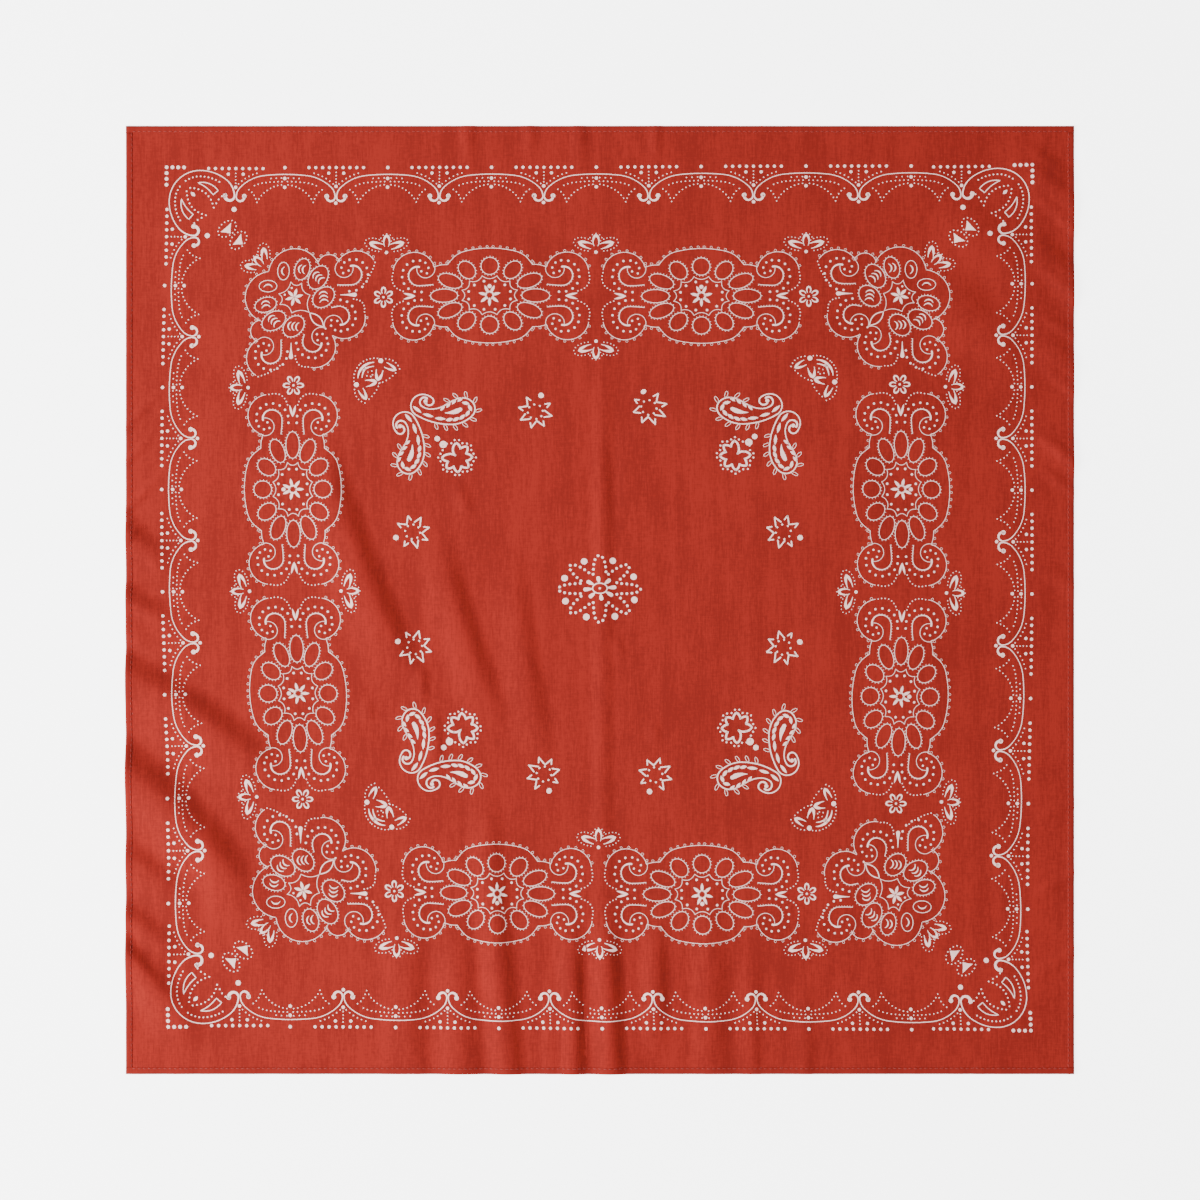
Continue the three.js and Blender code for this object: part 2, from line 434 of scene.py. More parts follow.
STITCH_PITCH = 3.0
STITCH_LENGTH = 2.3
STITCH_INWARD = 3.3            # from the edge to the line of stitches
STITCH_RADIUS = 0.2
STITCH_SEAT = 0.74             # how high the thread's middle lies over the relief
# Along a stitch: how far along it, and how thick and how high it is there, as shares
STITCH_RINGS = [
    (-0.5, 0.35, -0.9),
    (-0.36, 0.85, 0.1),
    (0.0, 1.0, 0.45),
    (0.36, 0.85, 0.1),
    (0.5, 0.35, -0.9),
]
STITCH_SIDES = 6


def stitching(name, place_at):
    """A row of stitches on one hem: short rounded beads of thread, drawn into the cloth at both ends."""
    count = int(2 * (HALF_SIDE - STITCH_INWARD) / STITCH_PITCH)
    points, faces = [], []
    turns = [2 * math.pi * k / STITCH_SIDES for k in range(STITCH_SIDES)]
    for i in range(count):
        middle = (i - (count - 1) / 2) * STITCH_PITCH
        faces += tube_faces(len(STITCH_RINGS), STITCH_SIDES, len(points))
        for share, thick, high in STITCH_RINGS:
            at = middle + share * STITCH_LENGTH
            for turn in turns:
                inward = STITCH_INWARD + STITCH_RADIUS * thick * math.cos(turn)
                x, y = place_at(inward, at)
                points.append((x, y, STITCH_SEAT + STITCH_RADIUS * (high + thick * math.sin(turn))))
    points = np.array(points)
    points[:, 2] += relief(points[:, 0], points[:, 1])
    return add_piece(name, points, faces, flat_map=face_uv(points[:, 0], points[:, 1]))


# Drawing the print: each mark is a flat outline in millimetres, as its points and its faces

LINE_STEP = 0.7                # between the places along a smooth line
PRINT_LIFT = 0.08              # the print over the face's facets


def dot(x, y, radius):
    """A round dot, with more sides the larger it is."""
    sides = 8 if radius < 0.9 else 12 if radius < 1.6 else 20
    turns = 2 * math.pi * np.arange(sides) / sides
    ring = np.stack([x + radius * np.cos(turns), y + radius * np.sin(turns)], axis=1)
    faces = [(0, 1 + i, 1 + (i + 1) % sides) for i in range(sides)]
    return [(np.vstack([[x, y], ring]), faces)]


def dots(places, radius):
    return [mark for x, y in places for mark in dot(x, y, radius)]


def polar(direction, reach):
    """The place at a direction in degrees and so far from the middle."""
    return np.array([reach * math.cos(math.radians(direction)), reach * math.sin(math.radians(direction))])


def line_steps(length):
    return max(4, round(length / LINE_STEP))


def arc(x, y, radius, start, end, height=None):
    """Part of a circle, or of an ellipse of another height, between two directions in degrees."""
    height = height or radius
    turns = np.radians(np.linspace(start, end, line_steps(math.radians(abs(end - start)) * radius) + 1))
    return np.stack([x + radius * np.cos(turns), y + height * np.sin(turns)], axis=1)


def oval(x, y, half_width, half_height, tilt=0):
    """A whole ellipse, anticlockwise, without its first place at the end."""
    round_line = arc(0, 0, half_width, 0, 360, half_height)[:-1]
    return round_line @ turning(tilt).T + (x, y)


def bow(start, end, rise):
    """A shallow arc from place to place, which bulges so far to the left."""
    start, run = np.array(start, float), np.subtract(end, start)
    length = math.hypot(*run)
    share = np.linspace(0, 1, line_steps(length) + 1)[:, None]
    left = np.array([-run[1], run[0]]) / length
    return start + share * run + 4 * rise * share * (1 - share) * left


def sweep(place, heading, arcs):
    """A smooth line of arcs that run on into each other: each a radius and an angle, which is above zero
    where the line turns left."""
    line = [np.array(place, float)]
    for radius, angle in arcs:
        side = math.copysign(1, angle)
        hub = line[-1] + side * polar(heading + 90, radius)
        turns = np.linspace(0, angle, line_steps(radius * math.radians(abs(angle))) + 1)[1:]
        line += [hub - side * polar(heading + turn + 90, radius) for turn in turns]
        heading += angle
    return np.array(line)


def lengths_along(line):
    return np.concatenate([[0], np.cumsum(np.linalg.norm(np.diff(line, axis=0), axis=1))])


def at_lengths(line, at):
    lengths = lengths_along(line)
    return np.stack([np.interp(at, lengths, line[:, k]) for k in (0, 1)], axis=1)


def part(line, start, end):
    """The stretch of a line between two shares of its length."""
    length = lengths_along(line)[-1]
    return at_lengths(line, np.linspace(start, end, line_steps((end - start) * length) + 1) * length)


def unit(runs):
    return runs / np.linalg.norm(runs, axis=1, keepdims=True)


def left_of(runs):
    return np.stack([-runs[:, 1], runs[:, 0]], axis=1)


def beside(line, distance):
    """The line that runs so far to the left of another, or to its right below zero."""
    return line + distance * left_of(unit(np.gradient(line, axis=0)))


def spaced(line, pitch, closed=False):
    """Places along a line, about one pitch apart, and the line's left side there."""
    line = np.vstack([line, line[:1]]) if closed else line
    length = lengths_along(line)[-1]
    count = max(2, round(length / pitch) + (0 if closed else 1))
    at = np.linspace(0, length, count, endpoint=not closed)
    near = 0.05 * pitch
    runs = at_lengths(line, at + near) - at_lengths(line, at - near)
    return at_lengths(line, at), left_of(unit(runs))


def dotted(line, pitch, radius, closed=False):
    return dots(spaced(line, pitch, closed)[0], radius)


def ribbon(middles, lefts, halves, closed):
    """A flat strip along a row of middles, with its half width at each."""
    points = np.vstack([middles - lefts * halves[:, None], middles + lefts * halves[:, None]])
    count = len(middles)
    faces = []
    for i in range(count if closed else count - 1):
        j = (i + 1) % count
        faces += [(i, j, count + j), (i, count + j, count + i)]
    return [(points, faces)]


def stroke(line, width, closed=False):
    """A line of some width with round ends. Several widths are spread evenly along it."""
    line = np.array(line, float)
    runs = np.roll(line, -1, axis=0) - np.roll(line, 1, axis=0) if closed else np.gradient(line, axis=0)
    runs = unit(runs)
    lengths = lengths_along(line)
    widths = np.atleast_1d(width)
    halves = np.interp(lengths / lengths[-1], np.linspace(0, 1, len(widths)), widths) / 2
    if not closed:
        turns = np.radians([80, 50, 20])
        start = line[0] - runs[0] * halves[0] * np.sin(turns)[:, None]
        end = line[-1] + runs[-1] * halves[-1] * np.sin(turns[::-1])[:, None]
        line = np.vstack([start, line, end])
        runs = np.vstack([np.repeat(runs[:1], 3, axis=0), runs, np.repeat(runs[-1:], 3, axis=0)])
        halves = np.concatenate([halves[0] * np.cos(turns), halves, halves[-1] * np.cos(turns[::-1])])
    return ribbon(line, left_of(runs), halves, closed)


LEAF_SHARES = np.array([0.12, 0.5, 0.78, 0.94, 1, 0.94, 0.78, 0.5, 0.12])


def leaf(x, y, length, width, tilt):
    """A plain leaf, pointed at both ends, about its middle."""
    along = np.linspace(-0.5, 0.5, len(LEAF_SHARES))[:, None]
    return stroke(np.array([x, y]) + along * polar(tilt, length), width * LEAF_SHARES)


def leaves_along(line, count, length, width, lean=0):
    """Leaves that follow a line, each leaning from it by so many degrees."""
    places, lefts = spaced(line, lengths_along(line)[-1] / (count - 1))
    return [mark for (x, y), left in zip(places, lefts)
            for mark in leaf(x, y, length, width, math.degrees(math.atan2(-left[0], left[1])) + lean)]


def two_legged_leaf(length, spread, fullness):
    """A leaf that parts into two legs at its base. Its base is at the middle and its tip to the right."""
    legs = []
    for side in (1, -1):
        leg = bow((0, side * spread), (length, 0), side * 0.07 * length)
        legs += stroke(leg, [0.4, 0.6, fullness * 0.75, fullness, 0.2])
    return legs


def horseshoe(half_width, height, widths):
    """A petal that stands up, open at its foot."""
    return stroke(arc(0, height * 0.45, half_width, -50, 230, height * 0.55), widths)


def star_line(tips, tip_reach, hollow_reach, first):
    """A zigzag round the middle: tip and hollow in turn, the first tip in the given direction."""
    step = 180 / tips
    return [polar(first + step * k, hollow_reach if k % 2 else tip_reach) for k in range(2 * tips)]


def filled_star(tip_places, waist):
    """A solid shape with a few tips and hollow sides, round the middle. The tips go anticlockwise."""
    tip_places = np.array(tip_places, float)
    outline = []
    for tip, following in zip(tip_places, np.roll(tip_places, -1, axis=0)):
        outline += [tip, (tip + following) / 2 * waist]
    points = np.vstack([[(0, 0)], outline])
    count = len(outline)
    return [(points, [(0, i, i % count + 1) for i in range(1, count + 1)])]


def teeth(line, pitch, length, width, side, closed=False):
    """Short ticks that stand out of a line, on its left where side is 1 and on its right where it is -1."""
    places, lefts = spaced(line, pitch, closed)
    marks = []
    for place, left in zip(places, side * lefts):
        across = np.array([[-left[1], left[0]]] * 2)
        halves = np.array([width, 0.7 * width]) / 2
        marks += ribbon(np.array([place, place + left * length]), across, halves, False)
    return marks


def picots(line, pitch, radius, width, side):
    """A row of small loops on one side of a line."""
    places, lefts = spaced(line, pitch)
    centres = places + side * lefts * radius * 1.25
    return [mark for x, y in centres for mark in stroke(oval(x, y, radius, radius), width, closed=True)]


def turning(degrees):
    lean = math.radians(degrees)
    return np.array([[math.cos(lean), -math.sin(lean)], [math.sin(lean), math.cos(lean)]])


def moved(marks, x=0, y=0, turn=0):
    return [(points @ turning(turn).T + (x, y), faces) for points, faces in marks]


def mirrored(marks, matrix=((-1, 0), (0, 1))):
    """The marks reflected, across X unless it says otherwise, with their faces still up."""
    return [(points @ np.array(matrix).T, [face[::-1] for face in faces]) for points, faces in marks]


def upside_down(marks):
    return mirrored(marks, ((1, 0), (0, -1)))


def over_diagonal(marks):
    """The marks and their image across the diagonal that runs to the top left corner."""
    return marks + mirrored(marks, ((0, -1), (-1, 0)))


def both_sides(marks):
    return marks + mirrored(marks)


def both_ways_up(marks):
    return marks + upside_down(marks)


def all_round(marks):
    """The marks at each of the cloth's four sides or corners."""
    return [mark for turn in (0, 90, 180, 270) for mark in moved(marks, turn=turn)]


# The border: a row of dots, and arches that hang from it. Its motifs are drawn from the row, inwards
# below zero

ROW_Y = 250.5                  # from the cloth's middle to the row of dots
ARCH_PITCH = 60.3
ARCHES = 7
ROW_DOT, BIG_DOT, SMALL_DOT = 0.93, 1, 0.4
SMALL_PITCH = 2.4
ARCH_ARCS = [(120, -6), (25, -38), (8, -45), (2.5, -190)]
ARCH_WIDTHS = [0.52, 0.5, 0.46, 0.46, 0.7, 1.6]
CURL_DOT = 1.35
ARCH_DOTS = [(0, 0), (0, -6.4), (0, -11.5)]    # down the arch's middle


def half_arch():
    """The right half of an arch: its line and curl, the rows of dots beside it, and its valance."""
    line = sweep((0, -4), 0, ARCH_ARCS)
    marks = stroke(line, ARCH_WIDTHS) + dot(*line[-1], CURL_DOT)
    marks += dotted(part(beside(line, 2.2), 0.32, 0.56), SMALL_PITCH, SMALL_DOT)
    marks += dotted(part(beside(line, -4.2), 0.05, 0.56), SMALL_PITCH, SMALL_DOT)
    marks += dotted(part(beside(line, -2.1), 0.06, 0.25), 2.9, SMALL_DOT)
    # The valance: a hanging swag of dots, and a short row that runs back up from its point
    marks += dotted(arc(0, -29, 19, 84, 27), SMALL_PITCH, SMALL_DOT)
    return marks + dotted(bow((17.7, -18.3), (22, -13), 0.6), SMALL_PITCH, SMALL_DOT)


def arch():
    return both_sides(half_arch()) + dots(ARCH_DOTS, BIG_DOT)


def between_arches(low_dot=True):
    """Nine dots of the row, and what hangs from them where two arches meet."""
    marks = dots([(4 * k, 0) for k in range(-4, 5)] + [(-4.4, -3.3), (4.4, -3.3)], ROW_DOT)
    marks += dotted(bow((0, -2.8), (0, -8.6), 0), 1.9, SMALL_DOT)
    return marks + dots([(0, -11), (0, -20.8)][:1 + low_dot], BIG_DOT)


# The border's corner, from a place near the loop's middle

CORNER_AT = (-220, 220)
CORNER_ARCS = [(18, -44), (24.5, -40), (13, -46), (2.8, -185)]
CORNER_TUCK = 1.3              # how far the last pair of curls keeps from the corner's loop
CORNER_WIDTHS = [0.55, 0.55, 0.52, 0.55, 0.85, 2]
CORNER_DOT = SMALL_DOT + 0.1


def border_corner():
    """A loop that rounds the corner, with curled ends, rows of dots and a slice inside each half."""
    line = sweep((-23.4, 23.4), 45, CORNER_ARCS)
    marks = stroke(line, CORNER_WIDTHS) + dot(*line[-1], CURL_DOT) + dot(9.5, 6, 1.5)
    marks += dotted(part(beside(line, -3.4), 0.07, 0.66), SMALL_PITCH, CORNER_DOT)
    piece = np.vstack([bow((-12, 21.5), (0, 17), 1.9), bow((-3, 14.5), (-12, 21.5), -0.8)[:-1]])
    marks += stroke(piece, 0.55, closed=True)
    marks += dotted(bow((-16.5, 18.5), (-2.5, 7), 3.4), SMALL_PITCH, CORNER_DOT)
    marks += dotted(bow((-1, 9.5), (4.5, 15), 0.8), SMALL_PITCH, CORNER_DOT)
    marks += dots([(-27 + 3.4 * k, 30.4) for k in range(3)], 1.1)
    marks = over_diagonal(marks) + dot(-30.4, 30.4, 1.05) + leaf(-14.8, 14.8, 3.2, 2, 135)
    return moved(marks + moved(sprig(), 5.6, -5.6) + moved(sprig(), 12.4, -12.4, 12), *CORNER_AT)


def sprig():
    """A solid leaf with three tips, ringed with dots."""
    tips = [polar(-52, 3.4), polar(58, 4.4), polar(205, 4.2)]
    ring = dotted(oval(0, 0.2, 6, 4, 38), 2.3, SMALL_DOT, closed=True)
    return filled_star(tips, 0.9) + ring


def border():
    marks = []
    for k in range(1 - ARCHES // 2, ARCHES // 2):
        marks += moved(arch(), k * ARCH_PITCH, ROW_Y)
    for k in range(ARCHES - 1):
        marks += moved(between_arches(), (k - ARCHES / 2 + 1) * ARCH_PITCH, ROW_Y)
    # The last arch is a little narrower on its side at the corner
    narrow = (ARCH_PITCH / 2 - CORNER_TUCK) / (ARCH_PITCH / 2)
    last = dots(ARCH_DOTS, BIG_DOT) + mirrored(half_arch())
    last += [(points * (narrow, 1), faces) for points, faces in half_arch()]
    last += moved(between_arches(low_dot=False), ARCH_PITCH / 2 - CORNER_TUCK, -0.6)
    marks += both_sides(moved(last, ARCHES // 2 * ARCH_PITCH, ROW_Y))
    return all_round(marks + border_corner())


# What the medallions share

FINE_LINE, PETAL_LINE = 0.33, 0.37
PICOT_PITCH, PICOT_RADIUS, PICOT_LINE = 4.1, 0.72, 0.2
HOOK_ARCS = [(5, -92), (6, -100)]
SCROLL_RADIUS = 12.3


def edged(line, side=1):
    """A fine line with a row of small loops outside it."""
    inner = part(line, 0.06, 0.94)
    return stroke(line, FINE_LINE) + picots(inner, PICOT_PITCH, PICOT_RADIUS, PICOT_LINE, side)


def ticked_petal(x, y, half_width, half_height, tilt):
    line = oval(x, y, half_width, half_height, tilt)
    return stroke(line, PETAL_LINE, closed=True) + teeth(line, 1.7, 0.9, 0.34, -1, closed=True)


def scroll(line_from=164, line_to=9, dots_to=-60, dots_reach=SCROLL_RADIUS, curl_from=170, tail=8):
    """A round lobe with a curl and a ticked hook in it. The directions say where its outer line runs."""
    marks = edged(arc(0, 0, SCROLL_RADIUS, line_from, line_to))
    last = polar(dots_to, dots_reach)
    gap = math.hypot(*(last - polar(line_to, SCROLL_RADIUS)))
    rise = 0.22 * gap if dots_reach == SCROLL_RADIUS else 0.8
    marks += dotted(bow(last, polar(line_to - 8, SCROLL_RADIUS), -rise), 2, 0.4)
    marks += stroke(arc(-6.9, 2.4, 5.3, curl_from, 372), FINE_LINE)
    hook = sweep((-2.9, 3.6), 12, HOOK_ARCS + [(60, -tail)])
    marks += stroke(hook, [1.1, 0.7, 0.5, 0.46, 0.42]) + teeth(part(hook, 0.3, 1), 1.6, 0.8, 0.32, 1)
    marks += dotted(part(beside(hook, 3.8), 0, 0.82), 3.9, 0.7)
    return marks + dots([(-6.6, 6), (-8.4, 3), (-7.6, -0.2), (-4.3, 1)], 0.64)


# The long medallions: an oval of petals between four scrolls, two on each side of the cloth

OVAL_AT = (ARCH_PITCH, 174.4)
OVAL_SCROLL_AT = (44, 13.6)
PETALS = 12
PETAL_RING, CUSP_RING, DOT_RING = (26.3, 17.4), (16.5, 11.9), (12.4, 8.6)
FLOWER_LEAVES = 7


def on_ring(ring, direction):
    turn = math.radians(direction)
    return np.array([ring[0] * math.cos(turn), ring[1] * math.sin(turn)])


def small_flower():
    marks = []
    for k in range(FLOWER_LEAVES):
        direction = -90 + 360 * k / FLOWER_LEAVES
        marks += leaf(*polar(direction, 3.9), 4.8, 1.7, direction)
    return marks + stroke(arc(0, 0, 2.2, -60, 240), 0.9) + dot(0, 5.4, 1.2)


def oval_medallion():
    """A flower in rings of cusps and petals, inside a looped outline with a scroll at each corner."""
    shoulder = sweep((0, 28), 0, [(60, -14), (14, -36), (60, -4)])
    quarter = edged(shoulder) + edged(bow(shoulder[-1], (32.3, 17), 0.5))
    quarter += moved(scroll(), *OVAL_SCROLL_AT) + leaf(46.5, 0.9, 7, 1.3, 14)
    marks = both_sides(both_ways_up(quarter))
    step = 360 / PETALS
    for k in range(PETALS):
        # A petal points away from the middle, and is rounder towards the oval's top
        rise = abs(math.sin(math.radians(k * step)))
        x, y = on_ring(PETAL_RING, k * step)
        tilt = math.degrees(math.atan2(y, x))
        marks += ticked_petal(x, y, 7.9 - 2.8 * rise ** 2, 3.9 + 1.1 * rise ** 6, tilt)
        cusp, following = (on_ring(CUSP_RING, (k + share) * step) for share in (-0.5, 0.5))
        marks += stroke(bow(cusp, following, 1.7), FINE_LINE)
        marks += dot(*on_ring(DOT_RING, (k + 0.5) * step), 0.75)
    return marks + small_flower()


# The corner medallions, from the middle of their flower, which is on the diagonal

CORNER_MEDALLION_AT = (-174.2, 174.2)
# The four petals of one half, from the corner round: direction from the diagonal, reach, half length,
# half width, how many chevrons each has and where they point
CORNER_PETALS = [(22, 16.8, 5.2, 3.4, 1, 180), (60, 17.2, 6.4, 4.3, 2, 172), (95, 18.2, 7.4, 5.2, 3, 135),
                 (135, 17.2, 7, 5.3, 3, 96)]
CORNER_CUSPS = [32, 72, 127]   # degrees from the diagonal
CUSP_REACH = 9.4
NECK = (9, -9)


def corner_petals():
    """The petals of one half, with the chevrons in them."""
    marks = []
    for turn, reach, half_length, half_width, chevrons, pointing in CORNER_PETALS:
        x, y = polar(135 - turn, reach)
        tilt = 99 - 0.42 * turn
        if chevrons > 1:
            marks += ticked_petal(x, y, half_length, half_width, tilt)
        else:
            marks += stroke(oval(x, y, half_length, half_width, tilt), PETAL_LINE, closed=True)
        for number in range(chevrons):
            hub = np.array([x, y]) + polar(pointing, 2.3 * (number - (chevrons - 1) / 2) - 1.7)
            marks += stroke(arc(*hub, 2.7, pointing + 64, pointing - 64), [0.3, 0.6, 0.85, 0.6, 0.3])
    return marks


def corner_medallion():
    """A flower with cusps and petals on the diagonal, two scrolls on each side, and an eye at its neck."""
    marks = edged(arc(0, 13.4, 15.3, 172, 24)) + edged(arc(20, 18.6, 6.6, 170, 20)) + corner_petals()
    marks += moved(scroll(150, 30, -62, 8.5, curl_from=140), 36, 15, 4)
    marks += moved(upside_down(scroll(134, 4, -52, tail=3)), 29.4, -12.2, 12)
    marks += stroke(bow((27, 1.4), (35.4, 1.4), 0), [0.3, 0.9, 2.4]) + dot(-1.5, 5.5, 0.6)
    cusps = [polar(135 - turn, CUSP_REACH) for turn in CORNER_CUSPS]
    for cusp, following in zip(cusps, cusps[1:]):
        marks += stroke(bow(cusp, following, -1.8), FINE_LINE)
    marks += stroke(bow(cusps[-1], NECK, -1.4), FINE_LINE)
    across = bow(polar(135 + CORNER_CUSPS[0], CUSP_REACH), cusps[0], -1.8)
    marks = over_diagonal(marks) + stroke(across, FINE_LINE)
    for turn in range(0, 360, 60):
        marks += leaf(*polar(turn + 15, 2.8), 4.8, 1.7, turn + 15)
    eye = np.vstack([bow((9.4, -9.4), (17.4, -17.4), 2.3), bow((17.4, -17.4), (9.4, -9.4), 2.3)[1:-1]])
    marks += stroke(eye, 0.6, closed=True) + dot(18.6, -18.6, 0.55)
    return moved(marks + moved(fleur(52, 7), -20.2, 20.2, 45), *CORNER_MEDALLION_AT)


# The small flowers between the medallions

FLEUR_OUTER_Y, FLEUR_INNER_Y = 200.4, 147.7
RING_DOT, RING_PITCH = 0.33, 2.1


def fleur(rise, length=8.2):
    """Three leaves and their ring of dots, pointing up. The side ones rise by so many degrees."""
    marks = moved(horseshoe(1.7, 6.4, [0.3, 0.6, 1, 1.7, 1, 0.6, 0.3]), 0, -1.8)
    marks += dotted(arc(0, 0.6, 4, 148, 32, 5.2), RING_PITCH, RING_DOT)
    side = two_legged_leaf(length, 1.5, 1.7)
    side += dotted(arc(length / 2, 0, length / 2 + 2.4, 118, -118, 3.6), RING_PITCH, RING_DOT)
    return marks + both_sides(moved(side, *(polar(rise - 60, 3.4) + (0, 0.4)), rise))


def small_flowers():
    marks = []
    for x in (-2 * ARCH_PITCH, 0, 2 * ARCH_PITCH):
        marks += moved(fleur(18), x, FLEUR_OUTER_Y + 5.2) + dot(x, FLEUR_OUTER_Y, BIG_DOT)
    marks += moved(fleur(18), 0, FLEUR_INNER_Y - 5.2, 180) + dot(0, FLEUR_INNER_Y, BIG_DOT)
    return marks + both_sides(moved(six_petals(), 122, 174))


def six_petals():
    """A flower of six petals, each a horseshoe open to the middle."""
    petal = moved(horseshoe(1.2, 3.4, [0.5, 0.8, 1.15, 0.8, 0.5]), 0, 2.3)
    return dot(0, 0, 0.7) + [mark for turn in range(0, 360, 60) for mark in moved(petal, turn=turn)]


# The field's motifs, in the top left quarter, and the middle rosette

CRESCENT_AT = (-129, 128)
CRESCENT_DOT, CRESCENT_PITCH = RING_DOT + 0.05, 2.2
PAISLEY_AT = (-79, 105.5)
PAISLEY_ARCS = [
    (2.5, 205), (9, 30), (6.8, 110), (6, 48), (38, 32), (17, 45), (6, 90), (7.5, 55), (14, 22), (100, -3),
    (15, -29), (9, -35), (3, -110), (2.2, -80),
]
PAISLEY_WIDTHS = [1.1, 0.7, 0.7, 0.75, 0.7, 0.7, 0.75, 0.7, 0.65, 0.65, 1.2]
BURST_AT = (-80, 79)
STAR_AT = (-35, 106)


def crescent():
    """Leaves set in a curve across the diagonal, ringed with dots, with a large dot at each end."""
    marks = moved(two_legged_leaf(7, 1.5, 1.5), 8.4, 6, -28)
    marks += moved(two_legged_leaf(6.5, 1.9, 1.8), 5, 3, -100)
    marks += stroke(arc(2, -2, 9.6, 135, 92), [1.4, 1.3, 0.9, 0.4])
    marks += stroke(bow((-4.4, 3), (1.5, 5.2), 0.5), [1, 0.8, 0.4])
    marks += dots([(-1.8, 1.8), (0.4, 2.4), (0.8, 0.2)], SMALL_DOT)
    marks += dotted(arc(2, -2, 12, 132, 82), CRESCENT_PITCH, CRESCENT_DOT) + dot(5.6, 8.5, 1.45)
    marks += dotted(bow((8.5, 9.6), (16.5, 3.6), 1.7), CRESCENT_PITCH, CRESCENT_DOT)
    marks += dotted(bow((14.2, 1.2), (4.5, -5), 0.8), CRESCENT_PITCH, CRESCENT_DOT)
    return moved(over_diagonal(marks), *CRESCENT_AT)


def paisley():
    """A drop whose two sides curl into each other, with leaves inside it and small loops round it."""
    line = sweep((-18.8, 5.9), -65, PAISLEY_ARCS)
    marks = stroke(line, PAISLEY_WIDTHS) + dot(-18.7, 6.9, 1.15)
    marks += stroke(bow((-7.6, 0), (1.2, 2), -0.7), [0.3, 1.2, 2.2, 2.8, 2.2])
    marks += leaves_along(beside(part(line, 0.26, 0.4), 2.9), 3, 6, 1.8, 6)
    marks += leaves_along(beside(part(line, 0.45, 0.68), 2.8), 6, 4.1, 1.9, 14)
    marks += leaves_along(beside(part(line, 0.72, 0.82), 0.8), 4, 3.9, 1.7, 28)
    loop = stroke(oval(1.7, 0, 1.9, 0.8), 0.32, closed=True)
    places, lefts = spaced(part(beside(line, -0.5), 0.4, 0.8), 5.4)
    for (x, y), left in zip(places, lefts):
        marks += moved(loop, x, y, math.degrees(math.atan2(-left[1], -left[0])) + 30)
    return moved(marks, *PAISLEY_AT)


def burst():
    """A jagged flower outline with one deep notch, ringed with dots, and two large dots beside it."""
    line = star_line(8, 8.7, 5.6, 92)
    line[2] = polar(128, 1.6)
    marks = [mark for start, end in zip(line, line[1:] + line[:1])
             for mark in stroke(bow(start, end, -0.5), 1.15)]
    turns = np.linspace(0, 2 * math.pi, 200, endpoint=False)
    reach = (9.9 + 0.9 * np.cos(8 * turns))[:, None]
    marks += dotted(reach * np.stack([np.cos(turns), np.sin(turns)], axis=1), 2.7, 0.58, closed=True)
    return moved(marks + dot(-7.8, 7.8, 2.1) + dot(-11.2, 11.2, 1.6), *BURST_AT)


def broken_star():
    """A star of eight tips with gaps in its line. A large dot stands where the tip at the top is left out."""
    line = star_line(8, 9.8, 5.4, 30)
    marks = dot(3.4, 9.6, 1.6)
    for k in range(16):
        hollow, tip = (line[k], line[(k + 1) % 16]) if k % 2 else (line[(k + 1) % 16], line[k])
        left_out = k in (1, 2)
        if not left_out:
            reach = (0.55, 0.85, 1)[k % 3]
            marks += stroke([tip, tip + reach * (hollow - tip)], 0.85)
        if k % 2:
            marks += dot(*(0.8 * line[k]), 0.6)
    return moved(marks, *STAR_AT)


def rosette():
    """Eight petals round a dot, a waving ring of dots, and eight large dots outside it."""
    marks = dot(0, 0, 0.7) + stroke(oval(0, 0, 4.2, 3), 0.65, closed=True)
    for turn in range(0, 360, 45):
        marks += stroke(bow(on_ring((4.8, 3.6), turn + 6), on_ring((8.4, 6), turn + 6), 0), [0.9, 2, 2.3])
        marks += dot(*on_ring((21.4, 17.6), turn + 24), 1.9)
    turns = np.linspace(0, 2 * math.pi, 400, endpoint=False)
    reach = 0.5 + 0.5 * np.cos(8 * turns)
    wave = np.stack([(10.6 + 13 * reach) * np.cos(turns), (8.6 + 11 * reach) * np.sin(turns)], axis=1)
    return marks + dotted(wave, 3, 0.82, closed=True)


def field():
    quarter = over_diagonal(paisley() + broken_star()) + crescent() + burst()
    return all_round(quarter) + rosette()


# Laying the print on the cloth. Printed cloth is never quite square, and this print sits a little high

PRINT_SHIFT = (-1, 3)
# Soft pulls: a place, how far the pull reaches across and up, and how far it draws the print to the right
# and up there
PRINT_PULLS = [
    (0, 0, 160, 160, 0, 2),
    (-180, -80, 160, 160, 0, 2),
    (-150, 120, 130, 130, -2, 0),
    (-280, 20, 130, 130, -2, 0.5),
    (-60, 300, 230, 230, -1, -3),
    (-60, 178, 55, 55, -1, 1),
    (-250, 250, 100, 100, 1, -1),
    (-260, -260, 130, 130, -1, 0),
    (-110, -190, 60, 60, 2.5, 0),
    (0, -290, 400, 70, 3.2, -1.7),
    (270, -200, 130, 130, -1, -2),
    (160, 0, 120, 120, 2, 1),
    (270, 240, 130, 130, 1.4, 0),
    (200, 280, 90, 90, 0, -1),
    (-195, -140, 95, 95, 3.2, 1.4),
    (175, -150, 90, 90, -1.8, 1.2),
    # The stars and the middle rosette
    (34, 108, 24, 24, -5.5, 2.5),
    (-36, -106, 26, 26, 3.4, 0),
    (36, -106, 26, 26, -2.3, 0),
    (-106, -34, 26, 26, 0, 2.3),
    (106, -34, 26, 26, 0, 2.8),
    (0, 0, 40, 40, 1, 1.7),
]


def drifted(points):
    """The layout's places where they lie on the cloth."""
    laid = points + PRINT_SHIFT
    for x, y, reach_x, reach_y, right, up in PRINT_PULLS:
        share = np.exp(-((points[:, 0] - x) / reach_x) ** 2 - ((points[:, 1] - y) / reach_y) ** 2)[:, None]
        laid = laid + share * (right, up)
    return laid


FACE_HEIGHTS = face_height(*np.meshgrid(LINES, LINES))


